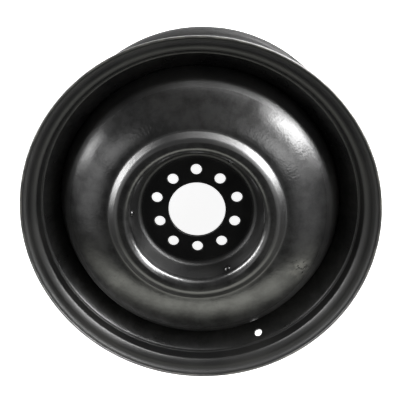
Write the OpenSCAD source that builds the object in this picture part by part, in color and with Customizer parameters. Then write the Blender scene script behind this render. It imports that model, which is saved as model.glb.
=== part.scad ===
// Pressed-steel road wheel: a rolled drop-centre rim and a domed disc, welded together.
// The wheel lies on its rear flange with its street side up. Its axis is Z, and the origin
// is on the axis, halfway between the two flange lips.

/* [Rim] */
// Diameter of the bead seats at the flanges
bead_seat_d = 462; // [440:1:490]
// Width between the inside faces of the flanges
rim_w = 203; // [185:1:225]
// Thickness of the rolled rim strip
rim_t = 3; // [2.2:0.1:3.6]
// Height of a flange above its bead seat
flange_h = 17.5; // [16.5:0.1:22]
// Reach of a curled lip past the flange's inside face
lip_w = 11.5; // [10.5:0.1:16]
// Radius of the curl of a flange, on the tyre side
curl_r = 9; // [8:0.1:9.5]
// Height of the bend in a flange's face above the bead seat
brow_h = 4.7; // [4.2:0.1:5.5]
// Setback of that bend from the flange's corner
brow_back = 2; // [1.2:0.1:2.6]
// Bend radius of a flange's face, on the tyre side
brow_bend_r = 12; // [9:0.5:13]
// Setback of the heel from the flange's corner
heel_back = 6.4; // [5.4:0.1:7.4]
// Radius between a flange and its bead seat, on the tyre side
heel_r = 2.4; // [1.5:0.1:2.8]
// Width of the front bead seat
seat_w = 16.5; // [16:0.1:19]
// Width of the rear bead seat
rear_seat_w = 18.5; // [16:0.1:21]
// Taper of a bead seat, in degrees
seat_taper = 5; // [3:0.5:8]
// Reach of the narrow ledge inside the front bead seat
ledge_w = 3.6; // [3.2:0.1:5]
// Fall of that ledge towards the well, in degrees
ledge_fall = 20; // [10:1:25]
// Bend radius between the front bead seat and the ledge, on the tyre side
ledge_bend_r = 4; // [3.5:0.1:4.2]
// Bend radius between the ledge and the well's front wall, on the tyre side
ledge_edge_r = 0.8; // [0.4:0.1:1.2]
// Bend radius at the rear bead seat's inner end and at the top of the ramp
seat_edge_r = 7; // [5:0.1:9]
// Depth of the drop well below the bead seats
well_depth = 23; // [20:0.5:26]
// Width of the drop well's base
well_w = 52; // [48:0.5:60]
// Bend radius at the corners of the well, on the tyre side
well_bend_r = 8; // [5:0.1:10]
// Height of the well's front corner above the start of the disc's flange
well_lead = 0; // [0:0.1:3]
// Length of the ramp from the well up to the rear ledge
ramp_w = 30; // [25:0.5:40]

/* [Valve hole] */
// Diameter of the valve hole
valve_d = 11.5; // [8:0.1:13]
// Place of the valve hole on the well's front wall, from its foot to its top
valve_level = 0.67; // [0.5:0.01:0.75]
// Angle of the valve hole around the axis, in degrees
valve_angle = -65.5; // [-180:0.5:180]

/* [Disc] */
// Thickness of the disc's sheet
disc_t = 5.2; // [4:0.1:6]
// Height of the hub mounting face above the middle of the wheel
offset_h = 63; // [58:0.5:68]
// Diameter of the centre bore
bore_d = 82.4; // [70:0.1:90]
// Radius of the bowl's floor, to the corner at its wall
floor_r = 85.5; // [82:0.5:87]
// Height of the mouth's corner above the mounting face
mouth_h = 45.9; // [45:0.1:46.5]
// Radius of the ridge's shoulder, where its back turns down
shoulder_r = 113.8; // [108:0.1:120]
// Width of the ridge, from the corner at the bowl's mouth to the shoulder
ridge_w = 17.8; // [16:0.1:20]
// Height of the shoulder above the mounting face
shoulder_h = 45.9; // [45.6:0.1:46.2]
// Run of the ridge's back, from the shoulder to the foot where the dome begins
flank_run = 10; // [8:0.1:13]
// Height of the ridge's foot above the mounting face
foot_h = 38.6; // [38.2:0.1:39.2]
// Run of the dome's slope, from the corner that the dome rounds off to the brim
dome_run = 31.6; // [26:0.1:36]
// Run of the flank below the brim, out to the flange that is pressed into the well
brim_in = 14.8; // [12:0.1:18]
// Height of the brim above the mounting face
brim_h = 18.3; // [16:0.1:20]
// Depth of the corner below the mounting face where the flank meets its flange
skirt_drop = 15; // [12:0.1:18]
// Length of the flange that is pressed into the well, from that corner
skirt_len = 33; // [27:0.5:36]
// Bend radius between the bowl's floor and its wall
floor_bend_r = 11; // [6:0.5:12]
// Bend radius of the bowl's mouth
mouth_bend_r = 12; // [9:0.1:12.2]
// Bend radius of the ridge's shoulder
shoulder_bend_r = 24; // [16:0.5:24.5]
// Bend radius at the ridge's foot
foot_bend_r = 3.5; // [2:0.5:5]
// Bend radius of the dome
dome_bend_r = 104; // [80:1:106]
// Bend radius of the brim
brim_bend_r = 12; // [8:0.5:14]
// Bend radius between the flank and its flange
skirt_bend_r = 15; // [8:0.5:20]

/* [Bolt holes] */
// Diameter of a bolt hole
bolt_d = 15.6; // [12:0.1:17]
// Diameter of the inner bolt circle
inner_circle_d = 114.3; // [112:0.05:118]
// Diameter of the outer bolt circle
outer_circle_d = 120.65; // [118:0.05:124]
// Number of holes in each bolt circle
bolts = 5; // [4:1:5]
// Depth of the conical nut seat at a bolt hole
nut_seat_depth = 1.4; // [0.5:0.1:2]
// Full angle of the conical nut seat, in degrees
nut_seat_angle = 60; // [50:1:90]

/* [Cap nubs] */
// Number of pressed nubs that hold a hub cap
nubs = 3; // [3:1:4]
// Diameter of a nub
nub_d = 10; // [7:0.1:12]
// Height of a nub above the bowl's wall
nub_h = 3.2; // [2:0.1:4.5]
// Radius of the domed end of a nub
nub_dome_r = 6.5; // [6.2:0.1:12]
// Diameter of the dimple that the punch leaves behind a nub
dimple_d = 7; // [4:0.1:9]
// Depth of that dimple
dimple_depth = 2.5; // [1:0.1:3]
// Height of the nubs above the mounting face
nub_level = 28.5; // [22:0.5:33]
// Angle of the first nub around the axis, in degrees
nub_angle = 58; // [0:0.5:360]

/* [Weld beads] */
// Number of weld runs around the disc's flange
weld_runs = 8; // [4:1:12]
// Angle that one weld run covers, in degrees
weld_span = 24; // [12:1:28]
// Leg of the fillet weld
weld_leg = 4.5; // [3:0.1:4.6]
// Distance of the bead's crown from both of its legs' faces
weld_crown = 2.8; // [2:0.1:3]

/* [Hidden] */

// Fineness of round holes, how far a bend's chords may fall short of it, and its fewest steps
$fn = 128;
bend_error = 0.02;
bend_steps = 4;
edge_steps = 12;
// Share of a straight part that the bends at its two ends may take up
bend_share = 0.97;
// How far a cut runs past the face that it opens
cut_past = 2;

paint = [0.09, 0.09, 0.09];

// Rim, tyre side
seat_r = bead_seat_d / 2;
flange_r = seat_r + flange_h;
face_z = rim_w / 2;
lip_z = face_z + lip_w;
heel_z = face_z - heel_back;
brow_r = seat_r + brow_h;
brow_z = face_z - brow_back;
seat_edge_z = heel_z - seat_w;
seat_end_r = seat_r - seat_w * tan(seat_taper);
ledge_r = seat_end_r - ledge_w;
ledge_z = seat_edge_z - ledge_w * tan(ledge_fall);
rear_edge_z = rear_seat_w - heel_z;
rear_end_r = seat_r - rear_seat_w * tan(seat_taper);
well_r = seat_r - well_depth;

// Disc, street side
plate_z = offset_h + disc_t;
mouth_r = shoulder_r - ridge_w;
mouth_z = offset_h + mouth_h;
shoulder_z = offset_h + shoulder_h;
foot_r = shoulder_r + flank_run;
foot_z = offset_h + foot_h;
brim_z = offset_h + brim_h;
skirt_z = offset_h - skirt_drop;
skirt_end_z = skirt_z - skirt_len;
disc_r = well_r - rim_t;
brim_r = disc_r - brim_in;
dome_r = brim_r - dome_run;

// The well lies where the disc's flange seats in it
well_front_z = skirt_z + well_lead;
well_rear_z = well_front_z - well_w;
ramp_end_z = well_rear_z - ramp_w;

// Direction from one point to another
function way(from, to) = (to - from) / norm(to - from);

// The right-hand side of a direction
function right_of(d) = [d[1], -d[0]];

// A point turned around the origin
function turned(p, a) = [p[0] * cos(a) - p[1] * sin(a), p[0] * sin(a) + p[1] * cos(a)];

// Points of the round bend that takes the corner b off the path from a to c
function bend(a, b, c, radius) =
    let (u = way(b, a),
         v = way(b, c),
         half = acos(u * v) / 2,
         centre = b + way([0, 0], u + v) * radius / sin(half),
         arm = b + u * radius / tan(half) - centre,
         sweep = sign(cross(-u, v)) * (180 - 2 * half),
         step = 180 / PI * sqrt(8 * bend_error / radius),
         steps = max(bend_steps, ceil(abs(sweep) / step)))
    [for (i = [0:steps]) centre + turned(arm, sweep * i / steps)];

// A path through corners, each given as [radius from the axis, height, bend radius]
function corner(p) = [p[0], p[1]];
function bent(corners) =
    let (last = len(corners) - 1)
    [for (i = [0:last])
        each (i == 0 || i == last)
            ? [corner(corners[i])]
            : bend(
                corner(corners[i - 1]),
                corner(corners[i]),
                corner(corners[i + 1]),
                corners[i][2] * min(1, room(corners, i - 1), room(corners, i)))];

// How far the bends at both ends of the straight part after corner i fit on it, 1 if just so
function room(corners, i) =
    bend_share * norm(corner(corners[i + 1]) - corner(corners[i]))
        / (taken(corners, i) + taken(corners, i + 1));

// Length that the bend at corner i takes off each of the two straight parts beside it
function taken(corners, i) =
    (i == 0 || i == len(corners) - 1)
        ? 0
        : let (u = way(corner(corners[i]), corner(corners[i - 1])),
               v = way(corner(corners[i]), corner(corners[i + 1])))
          corners[i][2] / tan(acos(u * v) / 2);

// The path that runs at a distance t to the right of another path
function beside(path, t) =
    let (last = len(path) - 1)
    [for (i = [0:last])
        let (before = way(path[max(i - 1, 0)], path[max(i, 1)]),
             after = way(path[min(i, last - 1)], path[min(i + 1, last)]),
             side = way([0, 0], right_of(before) + right_of(after)))
        path[i] + side * t / (side * right_of(before))];

// The points of a path from its end to its start
function reversed(path) = [for (i = [len(path) - 1:-1:0]) path[i]];

// Points of the half-round edge of a sheet, from p to q
function round_edge(p, q) =
    let (middle = (p + q) / 2, steps = edge_steps)
    [for (i = [1:steps - 1]) middle + turned(p - middle, -180 * i / steps)];

// Street side of the disc, from the centre bore outwards
disc_face = bent([
    [bore_d / 2, plate_z],
    [floor_r, plate_z, floor_bend_r],
    [mouth_r, mouth_z, mouth_bend_r],
    [shoulder_r, shoulder_z, shoulder_bend_r],
    [foot_r, foot_z, foot_bend_r],
    [dome_r, foot_z, dome_bend_r],
    [brim_r, brim_z, brim_bend_r],
    [disc_r, skirt_z, skirt_bend_r],
    [disc_r, skirt_end_z]]);

// Tyre side of the rim, from the front lip to the rear lip
rim_face = bent([
    [flange_r, lip_z - rim_t / 2],
    [flange_r, face_z, curl_r],
    [brow_r, brow_z, brow_bend_r],
    [seat_r, heel_z, heel_r],
    [seat_end_r, seat_edge_z, ledge_bend_r],
    [ledge_r, ledge_z, ledge_edge_r],
    [well_r, well_front_z, well_bend_r],
    [well_r, well_rear_z, well_bend_r],
    [rear_end_r, ramp_end_z, seat_edge_r],
    [rear_end_r, rear_edge_z, seat_edge_r],
    [seat_r, -heel_z, heel_r],
    [brow_r, -brow_z, brow_bend_r],
    [flange_r, -face_z, curl_r],
    [flange_r, -lip_z + rim_t / 2]]);

// Cut for the valve, square to the rim's front well wall
module valve_cut() {
    wall_top = [ledge_r, ledge_z];
    wall_foot = [well_r, well_front_z];
    middle = wall_foot + (wall_top - wall_foot) * valve_level;
    lean = atan2(wall_top[1] - wall_foot[1], wall_top[0] - wall_foot[0]);
    rotate([0, 0, valve_angle])
        translate([middle[0], 0, middle[1]])
            rotate([0, -lean, 0])
                cylinder(d = valve_d, h = 2 * (rim_t + cut_past), center = true);
}

module rim() {
    inside = beside(rim_face, rim_t);
    last = len(rim_face) - 1;
    color(paint)
        difference() {
            rotate_extrude()
                polygon(concat(
                    rim_face,
                    round_edge(rim_face[last], inside[last]),
                    reversed(inside),
                    round_edge(inside[0], rim_face[0])));
            valve_cut();
        }
}

// One bolt hole with its conical seat, standing on the mounting face
module bolt_cut() {
    seat_spread = nut_seat_depth * tan(nut_seat_angle / 2);
    past_spread = cut_past * tan(nut_seat_angle / 2);
    translate([0, 0, offset_h - cut_past])
        cylinder(d = bolt_d, h = disc_t + 2 * cut_past);
    translate([0, 0, plate_z - nut_seat_depth])
        cylinder(
            r1 = bolt_d / 2,
            r2 = bolt_d / 2 + seat_spread + past_spread,
            h = nut_seat_depth + cut_past);
}

// The holes of one bolt circle
module bolt_circle(d, first) {
    for (i = [0:bolts - 1])
        rotate([0, 0, first + i * 360 / bolts])
            translate([d / 2, 0, 0])
                bolt_cut();
}

// Places its children on the bowl's wall at each nub, with Z square to the wall
module at_nubs() {
    wall_foot = [floor_r, plate_z];
    wall_top = [mouth_r, mouth_z];
    up = way(wall_foot, wall_top);
    level = offset_h + nub_level;
    seat = wall_foot + up * (level - plate_z) / up[1];
    for (i = [0:nubs - 1])
        rotate([0, 0, nub_angle + i * 360 / nubs])
            translate([seat[0], 0, level])
                rotate([0, -atan2(up[1], up[0]), 0])
                    children();
}

// The domed button of a nub, rooted in the sheet
module nub_button() {
    root = disc_t / 2;
    intersection() {
        translate([0, 0, -root])
            cylinder(d = nub_d, h = root + nub_h);
        translate([0, 0, nub_h - nub_dome_r])
            sphere(r = nub_dome_r);
    }
}

// The dimple that the punch leaves behind a nub
module nub_dimple() {
    translate([0, 0, -disc_t - cut_past])
        cylinder(d = dimple_d, h = cut_past + dimple_depth);
}

module disc() {
    color(paint)
        difference() {
            union() {
                rotate_extrude()
                    polygon(concat(disc_face, reversed(beside(disc_face, disc_t))));
                at_nubs()
                    nub_button();
            }
            bolt_circle(outer_circle_d, 90);
            bolt_circle(inner_circle_d, 90 + 180 / bolts);
            at_nubs()
                nub_dimple();
        }
}

// Fillet runs in the corner between the end of the disc's flange and the well
module weld_beads() {
    color(paint)
        for (i = [0:weld_runs - 1])
            rotate([0, 0, (i + 0.5) * 360 / weld_runs - weld_span / 2])
                rotate_extrude(angle = weld_span)
                    polygon([
                        [disc_r, skirt_end_z],
                        [disc_r - weld_leg, skirt_end_z],
                        [disc_r - weld_crown, skirt_end_z - weld_crown],
                        [disc_r, skirt_end_z - weld_leg]]);
}

rim();
disc();
weld_beads();
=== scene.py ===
from math import atan2, ceil, cos, hypot, pi, radians, sin, tan, tau
from typing import NamedTuple

import bmesh
import bpy
from bpy.props import FloatProperty, FloatVectorProperty, IntProperty, PointerProperty
from mathutils import Matrix, Vector


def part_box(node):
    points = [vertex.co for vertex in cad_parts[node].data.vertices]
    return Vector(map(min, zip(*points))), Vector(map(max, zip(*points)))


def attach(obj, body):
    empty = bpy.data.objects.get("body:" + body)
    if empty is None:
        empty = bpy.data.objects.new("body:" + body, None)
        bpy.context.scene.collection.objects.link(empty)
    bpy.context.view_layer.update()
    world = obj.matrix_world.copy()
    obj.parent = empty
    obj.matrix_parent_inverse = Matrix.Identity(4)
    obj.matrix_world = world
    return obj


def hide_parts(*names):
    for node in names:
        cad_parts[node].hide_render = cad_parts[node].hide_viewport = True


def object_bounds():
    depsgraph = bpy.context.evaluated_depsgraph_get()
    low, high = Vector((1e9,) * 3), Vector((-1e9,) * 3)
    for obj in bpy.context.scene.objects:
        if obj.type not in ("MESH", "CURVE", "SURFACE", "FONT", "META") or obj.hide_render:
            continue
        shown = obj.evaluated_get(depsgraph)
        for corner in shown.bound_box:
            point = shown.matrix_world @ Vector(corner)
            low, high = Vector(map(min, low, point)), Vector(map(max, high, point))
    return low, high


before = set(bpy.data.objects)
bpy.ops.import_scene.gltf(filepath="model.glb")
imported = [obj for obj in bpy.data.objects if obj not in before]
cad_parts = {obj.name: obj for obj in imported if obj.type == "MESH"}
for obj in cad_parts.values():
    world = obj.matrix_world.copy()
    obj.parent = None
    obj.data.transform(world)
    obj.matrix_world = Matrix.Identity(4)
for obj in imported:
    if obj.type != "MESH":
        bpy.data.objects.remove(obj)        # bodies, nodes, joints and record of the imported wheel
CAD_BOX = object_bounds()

bl_info = {
    "name": "Pressed-steel road wheel",
    "version": (1, 0, 0),
    "blender": (4, 5, 0),
    "location": "3D View > Sidebar > Wheel",
    "description": "Builds a painted steel wheel from rim, disc and weld runs, with a studio around it",
    "category": "Object",
}

RIM_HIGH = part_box("rim")[1]
DISC_LOW, DISC_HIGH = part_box("disc")

# Fineness of the turned sheets, of their bends and of small round shapes
TURNS = 256
CHORD_ERROR = 0.00001
HOLE_TURNS = 64
LIP_STEPS = 8
EDGE_STEPS = 3
NUB_STEPS = 8
RIPPLE_STEPS = 4
SAME_PLACE = 1e-6
SMOOTH_BELOW = radians(32)

# Rounding of a lip by its strip, dome of a nub by its radius, start of a dimple's cut by the sheet
LIP_ROUND = 0.498
NUB_DOME = 1.3
DIMPLE_START = 1.4
# Depth of a weld bead's ripples and size of its ends, as shares of the bead
RIPPLE_DEPTH = 0.07
BEAD_END = 0.35

# Zones of the paint by their distance from the axis: where each begins and where it is full
HOLES_END = (0.0715, 0.0725)
BOWL_WALL = (0.0740, 0.0860)
BOWL_END = (0.0915, 0.0950)
FLANK_START = (0.1070, 0.1110)
FLANK_END = (0.1240, 0.1290)
BRIM = (0.1760, 0.1860)
ROLLED = (0.2000, 0.2080)
FLANGE = (0.2225, 0.2265)
CURL = (0.2370, 0.2410)
LIP = (0.2448, 0.2462)
# Zones by their height
PLATE_START = (0.0631, 0.0634)
PLATE_END = (0.0668, 0.0676)
LIP_TOP = (0.1106, 0.1122)

# Worn places on the dome: middle, reach and strength
WORN_PLACES = (
    ((0.144, -0.080, 0.0945), 0.024, 1.0),
    ((-0.117, -0.105, 0.097), 0.020, 0.5))
# Places on the bowl's wall where the nubs stay glossy
NUB_PLACES = ((0.0468, 0.0750, 0.0923), (-0.0884, 0.0031, 0.0923), (0.0415, -0.0781, 0.0923))
NUB_REACH = 0.009

PAINT_NAME = "black_paint_look"
WHITE = (1, 1, 1)
FLOOR_HALF = 30
# Light of the room, where 1 is the white that the camera sees
ROOM_LIGHT = 0.03

CAMERA_PLACE = (0.02993, 0.29750, 0.90224)
CAMERA_BACK = (0.0965, 0.2921, 0.9515)
CAMERA_UP = (0.0063, 0.9558, -0.2940)
CAMERA_SHIFT = (0.1043, -0.0432)
SENSOR_WIDTH = 36
VIEW_END = 100


class Lamp(NamedTuple):
    """A soft box. Its power is a share of a setting, and it fades out over a share at its edges."""
    name: str
    place: tuple
    aim: tuple
    size: tuple
    setting: str
    share: float
    edge: float


DISC_MIDDLE = (0, 0, 0.08)
LAMPS = (
    Lamp("key_high", (0.7155, 0.391, 0.595), DISC_MIDDLE, (0.42, 0.56), "key", 0.48, 0.45),
    Lamp("key_low", (0.58, 0.49, 0.28), (0, 0, 0.28), (1.25, 0.31), "key", 1.2, 0.55),
    Lamp("side_high", (-0.93, 0.26, 0.64), DISC_MIDDLE, (0.30, 0.40), "side", 0.27, 0.7),
    Lamp("side_low", (-0.84, 0.35, 0.28), (0, 0, 0.28), (1.20, 0.30), "side", 2.6, 0.8),
    Lamp("fill", (0, -0.27, 0.265), (0, 0, 0.265), (1.1, 0.27), "fill", 1.0, 0.8),
    Lamp("top", (0.15, 1.1, 0.55), DISC_MIDDLE, (1.2, 0.7), "top", 1.0, 0.6),
    Lamp("right_wall", (0.55, 0.1, 1.1), DISC_MIDDLE, (0.5, 0.8), "walls", 1.6, 1.0),
    Lamp("right_front", (0.75, -0.30, 0.80), DISC_MIDDLE, (0.8, 0.8), "walls", 0.3, 1.0),
    Lamp("left_wall", (-0.65, 0.1, 1.1), DISC_MIDDLE, (0.5, 0.8), "walls", 0.6, 1.0),
    Lamp("left_front", (-0.75, -0.15, 0.80), DISC_MIDDLE, (0.8, 0.9), "walls", 0.55, 1.0))


def length(name, description, default):
    """A size in metres that a user may change."""
    return FloatProperty(name=name, description=description, default=default, unit="LENGTH", precision=5)


def angle(name, description, default):
    """An angle that a user may change, given in degrees."""
    return FloatProperty(name=name, description=description, default=radians(default), subtype="ANGLE")


def colour(name, description, default):
    """A colour that a user may change."""
    return FloatVectorProperty(
        name=name, description=description, default=default, subtype="COLOR", min=0, max=1)


def number(name, description, default):
    """A number without a unit that a user may change."""
    return FloatProperty(name=name, description=description, default=default)


def count(name, description, default):
    """A number of like features that a user may change."""
    return IntProperty(name=name, description=description, default=default)


def power(name, description, default):
    """The power of lamps, in watts, that a user may change."""
    return FloatProperty(name=name, description=description, default=default, unit="POWER")


class RimSizes(bpy.types.PropertyGroup):
    """Section of the rolled rim and its valve hole."""
    flange_r: length("Flange radius", "Outside radius of the flanges", RIM_HIGH.x)
    lip_z: length("Lip height", "Height of the lips from the wheel's middle", RIM_HIGH.z)
    strip: length("Strip", "Thickness of the rolled strip", 0.003)
    lip_w: length("Lip reach", "Reach of a curled lip past the flange's inside face", 0.0115)
    flange_h: length("Flange height", "Height of a flange above its bead seat", 0.0175)
    curl_r: length("Curl radius", "Radius of the curl of a flange", 0.009)
    brow_h: length("Brow height", "Height of the bend in a flange's face above the bead seat", 0.0047)
    brow_back: length("Brow setback", "Setback of that bend from the flange's corner", 0.002)
    brow_bend_r: length("Brow bend", "Bend radius of a flange's face", 0.012)
    heel_back: length("Heel setback", "Setback of the heel from the flange's corner", 0.0064)
    heel_r: length("Heel radius", "Radius between a flange and its bead seat", 0.0024)
    seat_w: length("Front seat", "Width of the front bead seat", 0.0165)
    rear_seat_w: length("Rear seat", "Width of the rear bead seat", 0.0185)
    seat_taper: angle("Seat taper", "Taper of a bead seat", 5)
    ledge_w: length("Ledge reach", "Reach of the narrow ledge inside the front bead seat", 0.0036)
    ledge_fall: angle("Ledge fall", "Fall of that ledge towards the well", 20)
    ledge_bend_r: length("Ledge bend", "Bend radius between the front bead seat and the ledge", 0.004)
    ledge_edge_r: length("Ledge edge", "Bend radius between the ledge and the well's wall", 0.0008)
    seat_edge_r: length("Seat edge", "Bend radius at the rear seat's end and the ramp's top", 0.007)
    well_depth: length("Well depth", "Depth of the drop well below the bead seats", 0.023)
    well_w: length("Well width", "Width of the drop well's base", 0.052)
    well_bend_r: length("Well bend radius", "Bend radius at the corners of the well", 0.008)
    well_front_z: length("Well front", "Height of the well's front corner", 0.048)
    ramp_w: length("Ramp", "Length of the ramp from the well up to the rear ledge", 0.030)
    valve_r: length("Valve hole radius", "Radius of the valve hole", 0.00575)
    valve_level: number("Valve level", "Place of the valve hole on the well's front wall", 0.67)
    valve_angle: angle("Valve angle", "Angle of the valve hole around the axis", -65.5)


class DiscSizes(bpy.types.PropertyGroup):
    """Section of the pressed disc, its holes and its cap nubs."""
    sheet: length("Sheet", "Thickness of the disc's sheet", 0.0052)
    disc_r: length("Disc radius", "Outside radius of the flange that seats in the well", DISC_HIGH.x)
    flange_end_z: length("Flange end", "Height of the rear edge of that flange", DISC_LOW.z)
    flange_z: length("Flange start", "Height of the corner where that flange begins", 0.048)
    flange_bend_r: length("Flange bend", "Bend radius at that corner", 0.015)
    offset_h: length("Offset", "Height of the hub mounting face", 0.063)
    bore_r: length("Bore radius", "Radius of the centre bore", 0.0412)
    floor_r: length("Floor radius", "Radius of the bowl's floor", 0.0855)
    floor_bend_r: length("Floor bend", "Bend radius between the bowl's floor and wall", 0.007)
    mouth_r: length("Mouth radius", "Radius of the bowl's mouth at the ridge's corner", 0.096)
    mouth_h: length("Mouth height", "Height of the mouth's corner above the mounting face", 0.0459)
    mouth_bend_r: length("Mouth bend", "Bend radius of the bowl's mouth", 0.012)
    shoulder_r: length("Shoulder radius", "Radius of the ridge's shoulder", 0.1133)
    shoulder_h: length("Shoulder height", "Height of the shoulder above the mounting face", 0.0466)
    shoulder_bend_r: length("Shoulder bend", "Bend radius of the ridge's shoulder", 0.011)
    foot_r: length("Foot radius", "Radius of the ridge's foot", 0.1238)
    foot_h: length("Foot height", "Height of the ridge's foot above the mounting face", 0.0386)
    foot_bend_r: length("Foot bend", "Bend radius at the ridge's foot", 0.0035)
    dome_r: length("Dome corner", "Radius of the corner that the dome rounds off", 0.1586)
    dome_bend_r: length("Dome bend", "Bend radius of the dome", 0.104)
    brim_r: length("Brim radius", "Radius of the dome's brim", 0.1902)
    brim_h: length("Brim height", "Height of the brim above the mounting face", 0.0183)
    brim_bend_r: length("Brim bend", "Bend radius of the brim", 0.012)
    edge_r: length("Edge break", "Rounding of the sheared edges", 0.0004)
    bolt_r: length("Bolt hole radius", "Radius of a bolt hole", 0.0078)
    inner_circle_r: length("Inner bolt circle", "Radius of the inner bolt circle", 0.05715)
    outer_circle_r: length("Outer bolt circle", "Radius of the outer bolt circle", 0.060325)
    bolts: count("Bolts", "Number of holes in each bolt circle", 5)
    nut_seat: length("Nut seat", "Depth of the conical nut seat", 0.0014)
    nut_seat_angle: angle("Nut seat angle", "Half angle of the conical nut seat", 30)
    nubs: count("Nubs", "Number of pressed nubs that hold a cap", 3)
    nub_r: length("Nub radius", "Radius of a nub", 0.005)
    nub_h: length("Nub height", "Height of a nub above the bowl's wall", 0.0032)
    nub_level: length("Nub level", "Height of the nubs above the mounting face", 0.0285)
    nub_angle: angle("Nub angle", "Angle of the first nub around the axis", 58)
    dimple_r: length("Dimple radius", "Radius of the punch mark behind a nub", 0.0035)
    dimple_depth: length("Dimple depth", "Depth of the punch mark behind a nub", 0.0025)


class WeldSizes(bpy.types.PropertyGroup):
    """Fillet weld runs behind the disc's flange."""
    runs: count("Runs", "Number of weld runs", 8)
    span: angle("Span", "Angle that one run covers", 24)
    leg: length("Leg", "Leg of the fillet", 0.0045)
    crown: length("Crown", "Distance of the crown from both legs' faces", 0.0028)
    ripple: length("Ripple", "Length of one ripple along the bead", 0.0028)


class PaintLook(bpy.types.PropertyGroup):
    """Satin black paint, its wear, and the lighter scuff colour that also paints a highlight along the
    lip's top.
    """
    base: colour("Paint", "Colour of the black paint", (0.003, 0.003, 0.0031))
    faded: colour("Faded paint", "Colour of the paint where it has dulled", (0.007, 0.0068, 0.0063))
    # This colour also lightens the top of the lip: partly chipped paint, partly a painted highlight along
    # its edge
    scuff_and_lip_highlight: colour("Scuff", "Colour of a scuff in the paint", (0.07, 0.068, 0.060))
    roughness: number("Roughness", "Roughness of clean paint", 0.13)


class StageLook(bpy.types.PropertyGroup):
    """Floor, lamps and camera."""
    floor: colour("Floor", "Colour of the floor", (0.8, 0.8, 0.8))
    floor_glow: number("Floor glow", "Light that the floor adds where the camera sees it", 0.92)
    key: power("Key", "Power of the soft boxes on the right", 22.7)
    side: power("Side", "Power of the soft boxes on the left", 9.8)
    fill: power("Fill", "Power of the low front fill", 1.5)
    fill_tint: colour("Fill tint", "Colour of the low front fill", (0.99, 1.0, 0.91))
    walls: power("Walls", "Power of the dim panels beside the camera", 3.8)
    top: power("Top", "Power of the soft light beyond the wheel", 4.5)
    lens: FloatProperty(
        name="Lens", description="Focal length of the camera", default=54.985, unit="CAMERA")


class Socket:
    """A socket of a shader tree. Arithmetic on number sockets adds Math nodes."""

    def __init__(self, tree, socket):
        self.tree = tree
        self.socket = socket

    def math(self, operation, first, second):
        return self.tree.node("ShaderNodeMath", {"operation": operation}, {0: first, 1: second})["Value"]

    def __add__(self, other):
        return self.math("ADD", self, other)

    def __radd__(self, other):
        return self.math("ADD", other, self)

    def __sub__(self, other):
        return self.math("SUBTRACT", self, other)

    def __rsub__(self, other):
        return self.math("SUBTRACT", other, self)

    def __mul__(self, other):
        return self.math("MULTIPLY", self, other)

    def __rmul__(self, other):
        return self.math("MULTIPLY", other, self)


class Tree:
    """The node tree of a material, of a lamp or of the world."""

    def __init__(self, owner):
        owner.use_nodes = True
        self.tree = owner.node_tree
        self.tree.nodes.clear()

    def node(self, kind, settings=None, sockets=None):
        """Adds a node, sets it up, fills its sockets and returns its outputs by name."""
        made = self.tree.nodes.new(kind)
        for name, setting in (settings or {}).items():
            setattr(made, name, setting)
        for name, value in (sockets or {}).items():
            if isinstance(value, Socket):
                self.tree.links.new(value.socket, made.inputs[name])
            else:
                made.inputs[name].default_value = value
        return {out.name: Socket(self, out) for out in made.outputs if out.enabled}

    def noise(self, vector, scale, detail=2.0, roughness=0.5):
        """Noise of the given scale over a vector, from 0 to 1."""
        return self.node(
            "ShaderNodeTexNoise", {},
            {"Vector": vector, "Scale": scale, "Detail": detail, "Roughness": roughness})["Fac"]

    def ramp(self, value, low, high):
        """A smooth step from 0 at low to 1 at high."""
        return self.node(
            "ShaderNodeMapRange", {"interpolation_type": "SMOOTHSTEP"},
            {"Value": value, "From Min": low, "From Max": high})["Result"]

    def mix(self, factor, first, second):
        """A colour between two colours."""
        return self.node("ShaderNodeMix", {"data_type": "RGBA"}, {0: factor, 6: first, 7: second})["Result"]

    def vector(self, operation, first, second):
        """Vector maths between two vectors."""
        made = self.node("ShaderNodeVectorMath", {"operation": operation}, {0: first, 1: second})
        return made["Vector"] if "Vector" in made else made["Value"]


def rgba(value):
    """A colour setting as the four numbers of a socket."""
    return (*value, 1.0)


def spot(tree, coords, centre, reach):
    """A soft round mask around a point, 1 at its middle and 0 at its reach."""
    away = tree.vector("DISTANCE", coords, centre)
    return 1 - tree.ramp(away, reach * 0.35, reach)


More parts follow.
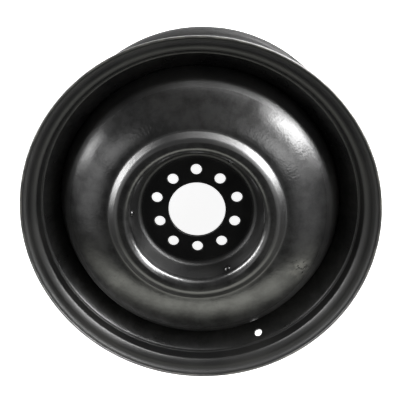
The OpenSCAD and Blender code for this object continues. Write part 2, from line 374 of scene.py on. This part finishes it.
def black_paint(look):
    """Satin black paint over pressed steel: orange peel, forming lines, dull patches, scuffs, and a lighter
    lip top that is partly chipped paint and partly a painted highlight.
    """
    material = bpy.data.materials.new(PAINT_NAME)
    tree = Tree(material)
    coords = tree.node("ShaderNodeTexCoord")["Object"]
    axes = tree.node("ShaderNodeSeparateXYZ", {}, {"Vector": coords})
    radius = tree.vector("LENGTH", tree.vector("MULTIPLY", coords, (1, 1, 0)), (0, 0, 0))
    turn = axes["Y"].math("ARCTAN2", axes["Y"], axes["X"])
    around = tree.node("ShaderNodeCombineXYZ", {}, {"X": radius, "Y": axes["Z"], "Z": 0.0})["Vector"]
    drawn = tree.node(
        "ShaderNodeCombineXYZ", {}, {"X": turn * 0.15, "Y": radius * 0.1, "Z": 0.0})["Vector"]

    # Zones of the wheel, from its rim to its hub plate
    rolled = tree.ramp(radius, *ROLLED)
    flange = tree.ramp(radius, *FLANGE)
    lip = tree.ramp(radius, *LIP) * tree.ramp(axes["Z"], *LIP_TOP)
    curl = tree.ramp(radius, *CURL) * (1 - lip)
    brim = tree.ramp(radius, *BRIM) * (1 - rolled)
    flank = tree.ramp(radius, *FLANK_START) * (1 - tree.ramp(radius, *FLANK_END))
    bowl = 1 - tree.ramp(radius, *BOWL_END)
    bowl_wall = bowl * tree.ramp(radius, *BOWL_WALL)
    for place in NUB_PLACES:
        bowl_wall = bowl_wall * (1 - spot(tree, coords, place, NUB_REACH))
    in_plate = tree.ramp(axes["Z"], *PLATE_START) * (1 - tree.ramp(axes["Z"], *PLATE_END))
    sheared = in_plate * (1 - tree.ramp(radius, *HOLES_END))

    # Texture of the paint and its wear; the lip's top is lightened partly as chipped paint and partly as a
    # painted highlight
    dull = tree.ramp(tree.noise(coords, 9.0, 3.0, 0.55), 0.42, 0.68)
    clouds = tree.ramp(tree.noise(coords, 34.0, 5.0, 0.65), 0.32, 0.68)
    lines = tree.noise(around, 620.0, 2.0, 0.6)
    peel = tree.noise(coords, 330.0, 2.0, 0.5)
    grit = tree.noise(coords, 1100.0, 1.0, 0.5)
    draw = tree.noise(drawn, 260.0, 2.0, 0.6)
    rubbed = 0
    for place, reach, strength in WORN_PLACES:
        rubbed = rubbed + spot(tree, coords, place, reach) * strength
    scuffs = tree.ramp(tree.noise(coords, 60.0, 5.0, 0.7), 0.44, 0.66) * rubbed
    marks = tree.ramp(tree.noise(coords, 170.0, 2.0, 0.5), 0.60, 0.66) * rubbed
    # Lighter lip top: chipped paint in places, and a painted highlight along the lip's edge
    lip_chips_and_highlight = lip * tree.ramp(tree.noise(drawn, 90.0, 3.0, 0.6), 0.35, 0.65)

    shade = tree.mix(dull * 0.75, rgba(look.base), rgba(look.faded))
    shade = tree.mix(scuffs * 0.7, shade, rgba(look.scuff_and_lip_highlight))
    shade = tree.mix(marks, shade, rgba(look.base))
    # The lip's top is mixed towards the scuff colour: partly chipped paint, partly a painted highlight
    shade = tree.mix(lip_chips_and_highlight, shade, rgba(look.scuff_and_lip_highlight))
    roughness = look.roughness + rolled * 0.03 + flange * 0.2 + curl * 0.2 + brim * 0.22
    roughness = roughness + flank * 0.17 + bowl_wall * 0.3 + dull * 0.05
    roughness = roughness + (lines - 0.5) * 0.06 + (grit - 0.5) * 0.06
    relief = (peel * 0.7 + lines * 0.2 + grit * 0.12 + draw * 0.5) * (1 - rolled * 0.6)
    normal = tree.node(
        "ShaderNodeBump", {},
        {"Strength": 0.5, "Distance": 0.0006, "Height": relief})["Normal"]
    # The coat is the rough haze around the sharper highlights of the paint below
    haze = 1 - 0.64 * (1 - clouds) * (1 - flank * 0.8)
    haze = haze * (1 - rolled * 0.45 - flange * 0.5 - bowl * 0.9 - brim * 0.6) * (1 - marks)
    shader = tree.node(
        "ShaderNodeBsdfPrincipled", {},
        {"Base Color": shade, "Roughness": roughness, "Normal": normal, "IOR": 1.6,
         "Coat Weight": haze + lip * 0.9, "Coat Roughness": 0.36, "Coat IOR": 1.7})["BSDF"]
    matt = tree.node("ShaderNodeBsdfDiffuse", {}, {"Color": rgba(look.faded)})["BSDF"]
    surface = tree.node("ShaderNodeMixShader", {}, {0: sheared, 1: shader, 2: matt})["Shader"]
    tree.node("ShaderNodeOutputMaterial", {}, {"Surface": surface})
    return material


def paint():
    """The wheel's paint, made once and shared by its pieces."""
    return bpy.data.materials.get(PAINT_NAME) or black_paint(bpy.context.scene.wheel_paint)


def ring(bm, r, z):
    """The edges of the ring at a radius and a height."""
    def on_ring(vert):
        return abs(hypot(vert.co.x, vert.co.y) - r) < SAME_PLACE and abs(vert.co.z - z) < SAME_PLACE
    return [edge for edge in bm.edges if all(map(on_ring, edge.verts))]


def bevel(bm, edges, offset, segments):
    """Rounds edges off."""
    if not edges:
        raise RuntimeError("an edge to be rounded isn't there")
    bmesh.ops.bevel(
        bm, geom=edges, offset=offset, offset_type="OFFSET", segments=segments, profile=0.5,
        affect="EDGES", material=-1, clamp_overlap=False)


def turned(path, turns):
    """A surface turned around Z from a path of (radius, height)."""
    bm = bmesh.new()
    verts = [bm.verts.new((r, 0, z)) for r, z in path]
    edges = [bm.edges.new(pair) for pair in zip(verts, verts[1:])]
    bmesh.ops.spin(
        bm, geom=verts + edges, cent=(0, 0, 0), axis=(0, 0, 1), angle=tau, steps=turns, use_merge=True)
    bmesh.ops.remove_doubles(bm, verts=bm.verts[:], dist=SAME_PLACE)
    bmesh.ops.recalc_face_normals(bm, faces=bm.faces[:])
    return bm


def pressed_sheet(corners, thickness):
    """A sheet turned around Z from (radius, height, bend radius) corners, with its bends rounded."""
    bm = turned([corner[:2] for corner in corners], TURNS)
    for (r0, z0, _), (r1, z1, bend_r), (r2, z2, _) in zip(corners, corners[1:], corners[2:]):
        if bend_r:
            turn = atan2(z2 - z1, r2 - r1) - atan2(z1 - z0, r1 - r0)
            turn = abs((turn + pi) % tau - pi)
            step = (8 * CHORD_ERROR / bend_r) ** 0.5
            bevel(bm, ring(bm, r1, z1), bend_r * tan(turn / 2), ceil(turn / step))
    bmesh.ops.solidify(bm, geom=bm.faces[:], thickness=thickness)
    return bm


def as_object(name, bm):
    """A mesh object at the origin."""
    mesh = bpy.data.meshes.new(name)
    bm.to_mesh(mesh)
    bm.free()
    made = bpy.data.objects.new(name, mesh)
    bpy.context.scene.collection.objects.link(made)
    return made


def combine(piece, tool_bm, operation):
    """Cuts a tool shape out of a piece, or joins it to it, and keeps the result as the piece's mesh."""
    tool = as_object("tool", tool_bm)
    step = piece.modifiers.new("step", "BOOLEAN")
    step.operation = operation
    step.solver = "EXACT"
    step.object = tool
    result = bpy.data.meshes.new_from_object(piece.evaluated_get(bpy.context.evaluated_depsgraph_get()))
    piece.modifiers.remove(step)
    old = piece.data
    piece.data = result
    result.name = piece.name
    bpy.data.meshes.remove(old)
    tool_mesh = tool.data
    bpy.data.objects.remove(tool)
    bpy.data.meshes.remove(tool_mesh)


def finish_piece(piece, node):
    """Merges, orients and shades a piece, paints it and sets it in the frame in place of its node."""
    bm = bmesh.new()
    bm.from_mesh(piece.data)
    bmesh.ops.remove_doubles(bm, verts=bm.verts[:], dist=SAME_PLACE)
    bmesh.ops.recalc_face_normals(bm, faces=bm.faces[:])
    if any(not edge.is_manifold for edge in bm.edges):
        raise RuntimeError(piece.name + " isn't closed")
    bm.to_mesh(piece.data)
    bm.free()
    for face in piece.data.polygons:
        face.use_smooth = True
    piece.data.set_sharp_from_angle(angle=SMOOTH_BELOW)
    piece.data.materials.clear()
    piece.data.materials.append(paint())
    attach(piece, "root")
    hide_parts(node)


def joined(shapes):
    """One bmesh that holds several."""
    whole = bmesh.new()
    for bm in shapes:
        part = bpy.data.meshes.new("part")
        bm.to_mesh(part)
        bm.free()
        whole.from_mesh(part)
        bpy.data.meshes.remove(part)
    return whole


def lathed_tool(path, place):
    """A closed tool turned from a path that starts and ends on its own axis, set in place."""
    bm = turned(path, HOLE_TURNS)
    bmesh.ops.transform(bm, matrix=place, verts=bm.verts[:])
    return bm


class WHEEL_OT_rim(bpy.types.Operator):
    """Rolls the drop-centre rim and cuts its valve hole"""
    bl_idname = "wheel.rim"
    bl_label = "Rim"

    def execute(self, context):
        size = context.scene.wheel_rim
        seat_r = size.flange_r - size.flange_h
        face_z = size.lip_z - size.lip_w
        heel_z = face_z - size.heel_back
        brow_r = seat_r + size.brow_h
        brow_z = face_z - size.brow_back
        seat_edge_z = heel_z - size.seat_w
        seat_end_r = seat_r - size.seat_w * tan(size.seat_taper)
        ledge_r = seat_end_r - size.ledge_w
        ledge_z = seat_edge_z - size.ledge_w * tan(size.ledge_fall)
        rear_edge_z = size.rear_seat_w - heel_z
        rear_end_r = seat_r - size.rear_seat_w * tan(size.seat_taper)
        well_r = seat_r - size.well_depth
        well_rear_z = size.well_front_z - size.well_w
        ramp_end_z = well_rear_z - size.ramp_w
        corners = [
            (size.flange_r, size.lip_z, 0),
            (size.flange_r, face_z, size.curl_r),
            (brow_r, brow_z, size.brow_bend_r),
            (seat_r, heel_z, size.heel_r),
            (seat_end_r, seat_edge_z, size.ledge_bend_r),
            (ledge_r, ledge_z, size.ledge_edge_r),
            (well_r, size.well_front_z, size.well_bend_r),
            (well_r, well_rear_z, size.well_bend_r),
            (rear_end_r, ramp_end_z, size.seat_edge_r),
            (rear_end_r, rear_edge_z, size.seat_edge_r),
            (seat_r, -heel_z, size.heel_r),
            (brow_r, -brow_z, size.brow_bend_r),
            (size.flange_r, -face_z, size.curl_r),
            (size.flange_r, -size.lip_z, 0)]
        bm = pressed_sheet(corners, size.strip)
        for z in (size.lip_z, -size.lip_z):
            edges = ring(bm, size.flange_r, z) + ring(bm, size.flange_r - size.strip, z)
            bevel(bm, edges, size.strip * LIP_ROUND, LIP_STEPS)
        rim = as_object("wheel_rim", bm)

        wall = Vector((ledge_r - well_r, 0, ledge_z - size.well_front_z))
        middle = Vector((well_r, 0, size.well_front_z)) + wall * size.valve_level
        lean = Matrix.Rotation(-atan2(wall.z, wall.x), 4, "Y")
        place = Matrix.Rotation(size.valve_angle, 4, "Z") @ Matrix.Translation(middle) @ lean
        reach = size.strip * 2
        hole = [(0, reach), (size.valve_r, reach), (size.valve_r, -reach), (0, -reach)]
        combine(rim, lathed_tool(hole, place), "DIFFERENCE")
        finish_piece(rim, "rim")
        return {"FINISHED"}


class WHEEL_OT_disc(bpy.types.Operator):
    """Presses the disc, with its bowl, ridge, dome, flange, holes and cap nubs"""
    bl_idname = "wheel.disc"
    bl_label = "Disc"

    def execute(self, context):
        size = context.scene.wheel_disc
        plate_z = size.offset_h + size.sheet
        mouth_z = size.offset_h + size.mouth_h
        foot_z = size.offset_h + size.foot_h
        corners = [
            (size.bore_r, plate_z, 0),
            (size.floor_r, plate_z, size.floor_bend_r),
            (size.mouth_r, mouth_z, size.mouth_bend_r),
            (size.shoulder_r, size.offset_h + size.shoulder_h, size.shoulder_bend_r),
            (size.foot_r, foot_z, size.foot_bend_r),
            (size.dome_r, foot_z, size.dome_bend_r),
            (size.brim_r, size.offset_h + size.brim_h, size.brim_bend_r),
            (size.disc_r, size.flange_z, size.flange_bend_r),
            (size.disc_r, size.flange_end_z, 0)]
        bm = pressed_sheet(corners, size.sheet)
        edges = ring(bm, size.bore_r, plate_z) + ring(bm, size.bore_r, size.offset_h)
        edges += ring(bm, size.disc_r, size.flange_end_z)
        edges += ring(bm, size.disc_r - size.sheet, size.flange_end_z)
        bevel(bm, edges, size.edge_r, EDGE_STEPS)
        disc = as_object("wheel_disc", bm)

        places = self.nub_places(size, plate_z, mouth_z)
        combine(disc, joined(self.nub(size, place) for place in places), "UNION")
        holes = [self.bolt_hole(size, size.outer_circle_r, pi / 2, i) for i in range(size.bolts)]
        first = pi / 2 + pi / size.bolts
        holes += [self.bolt_hole(size, size.inner_circle_r, first, i) for i in range(size.bolts)]
        holes += [self.dimple(size, place) for place in places]
        combine(disc, joined(holes), "DIFFERENCE")
        finish_piece(disc, "disc")
        return {"FINISHED"}

    @staticmethod
    def bolt_hole(size, circle_r, first, i):
        """A bolt hole with its conical nut seat and a broken rear edge, as a tool."""
        past = size.sheet
        spread = tan(size.nut_seat_angle)
        seat_z = size.sheet - size.nut_seat
        path = [
            (0, -past),
            (size.bolt_r + past, -past),
            (size.bolt_r, size.edge_r),
            (size.bolt_r, seat_z),
            (size.bolt_r + (size.nut_seat + past) * spread, size.sheet + past),
            (0, size.sheet + past)]
        turn = Matrix.Rotation(first + i * tau / size.bolts, 4, "Z")
        return lathed_tool(path, turn @ Matrix.Translation((circle_r, 0, size.offset_h)))

    @staticmethod
    def nub_places(size, plate_z, mouth_z):
        """Where each nub stands on the bowl's wall, with Z square to the wall."""
        wall = Vector((size.mouth_r - size.floor_r, 0, mouth_z - plate_z))
        level = size.offset_h + size.nub_level
        seat = Vector((size.floor_r, 0, plate_z)) + wall * ((level - plate_z) / wall.z)
        lean = Matrix.Rotation(-atan2(wall.z, wall.x), 4, "Y")
        turns = [size.nub_angle + i * tau / size.nubs for i in range(size.nubs)]
        return [Matrix.Rotation(turn, 4, "Z") @ Matrix.Translation(seat) @ lean for turn in turns]

    @staticmethod
    def nub(size, place):
        """A nub with a domed end, rooted in the sheet, as a tool."""
        crown = NUB_DOME * size.nub_r
        edge = crown - (crown ** 2 - size.nub_r ** 2) ** 0.5
        half = atan2(size.nub_r, crown - edge)
        arc = [half * (1 - i / NUB_STEPS) for i in range(NUB_STEPS + 1)]
        dome = [(crown * sin(a), size.nub_h - crown * (1 - cos(a))) for a in arc]
        root = -size.sheet / 2
        return lathed_tool([(0, root), (size.nub_r, root), *dome], place)

    @staticmethod
    def dimple(size, place):
        """The punch mark behind a nub, as a tool."""
        mouth = -size.sheet * DIMPLE_START
        foot = size.dimple_depth - size.sheet
        path = [(0, mouth), (size.dimple_r, mouth), (size.dimple_r, foot), (0, foot)]
        return lathed_tool(path, place)


class WHEEL_OT_weld_beads(bpy.types.Operator):
    """Lays the rippled weld runs behind the disc's flange"""
    bl_idname = "wheel.weld_beads"
    bl_label = "Weld beads"

    def execute(self, context):
        size = context.scene.wheel_weld
        runs = [self.run(size, (i + 0.5) * tau / size.runs) for i in range(size.runs)]
        beads = as_object("weld_beads_rippled", joined(runs))
        finish_piece(beads, "weld_beads")
        return {"FINISHED"}

    @staticmethod
    def run(size, middle):
        """One weld run: a fillet section swept along the joint, with ripples and rounded ends."""
        disc = bpy.context.scene.wheel_disc
        corner_r, corner_z = disc.disc_r, disc.flange_end_z
        bm = bmesh.new()
        arc = [i * pi / 8 for i in range(5)]
        section = [(0, 0)] + [(size.leg * cos(a), size.leg * sin(a)) for a in arc]
        flat = size.crown * 2 ** 0.5 / size.leg
        verts = []
        for x, z in section:
            pull = 1 - (1 - flat) * sin(2 * atan2(z, x)) ** 2 if x or z else 1
            verts.append(bm.verts.new((corner_r - x * pull, 0, corner_z - z * pull)))
        face = bm.faces.new(verts)
        steps = ceil(size.span * corner_r / (size.ripple / RIPPLE_STEPS))
        bmesh.ops.spin(
            bm, geom=[face, *face.edges, *face.verts], cent=(0, 0, 0), axis=(0, 0, 1),
            angle=size.span, steps=steps, use_duplicate=False)
        for vert in bm.verts:
            turn = atan2(vert.co.y, vert.co.x)
            along = turn * corner_r / size.ripple
            end = min(turn, size.span - turn) * corner_r / size.leg
            swell = 1 - RIPPLE_DEPTH + RIPPLE_DEPTH * cos(along * tau)
            grow = swell * min(1, BEAD_END + (1 - BEAD_END) * max(end, 0) ** 0.5)
            foot = Vector((corner_r * cos(turn), corner_r * sin(turn), corner_z))
            vert.co = foot + (vert.co - foot) * grow
        turn = Matrix.Rotation(middle - size.span / 2, 3, "Z")
        bmesh.ops.rotate(bm, verts=bm.verts[:], cent=(0, 0, 0), matrix=turn)
        bmesh.ops.recalc_face_normals(bm, faces=bm.faces[:])
        return bm


class WHEEL_OT_stage(bpy.types.Operator):
    """Sets the pale floor, the soft lamps and the camera"""
    bl_idname = "wheel.stage"
    bl_label = "Stage"

    def execute(self, context):
        look = context.scene.wheel_stage
        self.add_floor(look)
        self.add_world(context.scene)
        for lamp in LAMPS:
            self.add_lamp(lamp, look)
        self.add_camera(context.scene, look)
        context.scene.view_settings.view_transform = "Standard"
        return {"FINISHED"}

    @staticmethod
    def add_floor(look):
        """A wide pale floor that shows white but keeps the wheel's shadow."""
        bm = bmesh.new()
        bmesh.ops.create_grid(bm, x_segments=4, y_segments=4, size=FLOOR_HALF)
        bmesh.ops.translate(bm, verts=bm.verts[:], vec=(0, 0, CAD_BOX[0].z))
        floor = as_object("floor", bm)
        material = bpy.data.materials.new("pale_floor")
        tree = Tree(material)
        path = tree.node("ShaderNodeLightPath")
        seen = path["Is Camera Ray"] + path["Is Glossy Ray"] + path["Is Transmission Ray"]
        matt = tree.node("ShaderNodeBsdfDiffuse", {}, {"Color": rgba(look.floor)})["BSDF"]
        glow = tree.node(
            "ShaderNodeEmission", {}, {"Color": rgba(WHITE), "Strength": seen * look.floor_glow})
        both = tree.node("ShaderNodeAddShader", {}, {0: matt, 1: glow["Emission"]})["Shader"]
        tree.node("ShaderNodeOutputMaterial", {}, {"Surface": both})
        floor.data.materials.append(material)

    @staticmethod
    def add_world(scene):
        """A dim even room that the camera sees as white."""
        world = bpy.data.worlds.new("room")
        scene.world = world
        tree = Tree(world)
        path = tree.node("ShaderNodeLightPath")
        seen = path["Is Camera Ray"] + path["Is Transmission Ray"]
        strength = ROOM_LIGHT + seen * (1 - ROOM_LIGHT)
        light = tree.node("ShaderNodeBackground", {}, {"Color": rgba(WHITE), "Strength": strength})
        tree.node("ShaderNodeOutputWorld", {}, {"Surface": light["Background"]})

    @staticmethod
    def add_lamp(lamp, look):
        """A soft box, which only the fill's tint colours."""
        light = bpy.data.lights.new(lamp.name, "AREA")
        light.shape = "RECTANGLE"
        light.size, light.size_y = lamp.size
        light.energy = getattr(look, lamp.setting) * lamp.share
        light.color = look.fill_tint if lamp.setting == "fill" else WHITE
        tree = Tree(light)
        across = tree.node("ShaderNodeNewGeometry")["Parametric"]
        inset = tree.vector("ABSOLUTE", tree.vector("SUBTRACT", across, (0.5, 0.5, 0.5)), (0, 0, 0))
        sides = tree.node("ShaderNodeSeparateXYZ", {}, {"Vector": inset})
        fade = tree.ramp(1 - 2 * sides["X"], 0.0, lamp.edge) * tree.ramp(1 - 2 * sides["Y"], 0.0, lamp.edge)
        glow = tree.mix(fade, (0, 0, 0, 1), rgba(WHITE))
        shine = tree.node("ShaderNodeEmission", {}, {"Color": glow})["Emission"]
        tree.node("ShaderNodeOutputLight", {}, {"Surface": shine})
        made = bpy.data.objects.new(lamp.name, light)
        made.location = lamp.place
        made.rotation_euler = (Vector(lamp.aim) - made.location).to_track_quat("-Z", "Y").to_euler()
        made.visible_camera = False
        bpy.context.scene.collection.objects.link(made)

    @staticmethod
    def add_camera(scene, look):
        """The camera, above the lying wheel, at the photograph's viewing angle."""
        camera = bpy.data.cameras.new("camera")
        camera.lens = look.lens
        camera.sensor_width = SENSOR_WIDTH
        camera.shift_x, camera.shift_y = CAMERA_SHIFT
        camera.clip_end = VIEW_END
        made = bpy.data.objects.new("camera", camera)
        back = Vector(CAMERA_BACK).normalized()
        right = Vector(CAMERA_UP).cross(back).normalized()
        up = back.cross(right)
        turn = Matrix((right, up, back)).transposed().to_4x4()
        made.matrix_world = Matrix.Translation(CAMERA_PLACE) @ turn
        scene.collection.objects.link(made)
        scene.camera = made


class WHEEL_PT_build(bpy.types.Panel):
    """Lists the pieces of the wheel and its stage"""
    bl_label = "Steel wheel"
    bl_idname = "WHEEL_PT_build"
    bl_space_type = "VIEW_3D"
    bl_region_type = "UI"
    bl_category = "Wheel"

    def draw(self, context):
        for operator in OPERATORS:
            self.layout.operator(operator.bl_idname)


SETTINGS = {
    "wheel_rim": RimSizes,
    "wheel_disc": DiscSizes,
    "wheel_weld": WeldSizes,
    "wheel_paint": PaintLook,
    "wheel_stage": StageLook,
}
OPERATORS = (WHEEL_OT_rim, WHEEL_OT_disc, WHEEL_OT_weld_beads, WHEEL_OT_stage)


def register():
    for name, group in SETTINGS.items():
        bpy.utils.register_class(group)
        setattr(bpy.types.Scene, name, PointerProperty(type=group))
    for operator in OPERATORS:
        bpy.utils.register_class(operator)
    bpy.utils.register_class(WHEEL_PT_build)


def unregister():
    bpy.utils.unregister_class(WHEEL_PT_build)
    for operator in reversed(OPERATORS):
        bpy.utils.unregister_class(operator)
    for name, group in reversed(SETTINGS.items()):
        delattr(bpy.types.Scene, name)
        bpy.utils.unregister_class(group)


def main():
    register()
    bpy.ops.wheel.rim()
    bpy.ops.wheel.disc()
    bpy.ops.wheel.weld_beads()
    bpy.ops.wheel.stage()


if __name__ == "__main__":
    main()
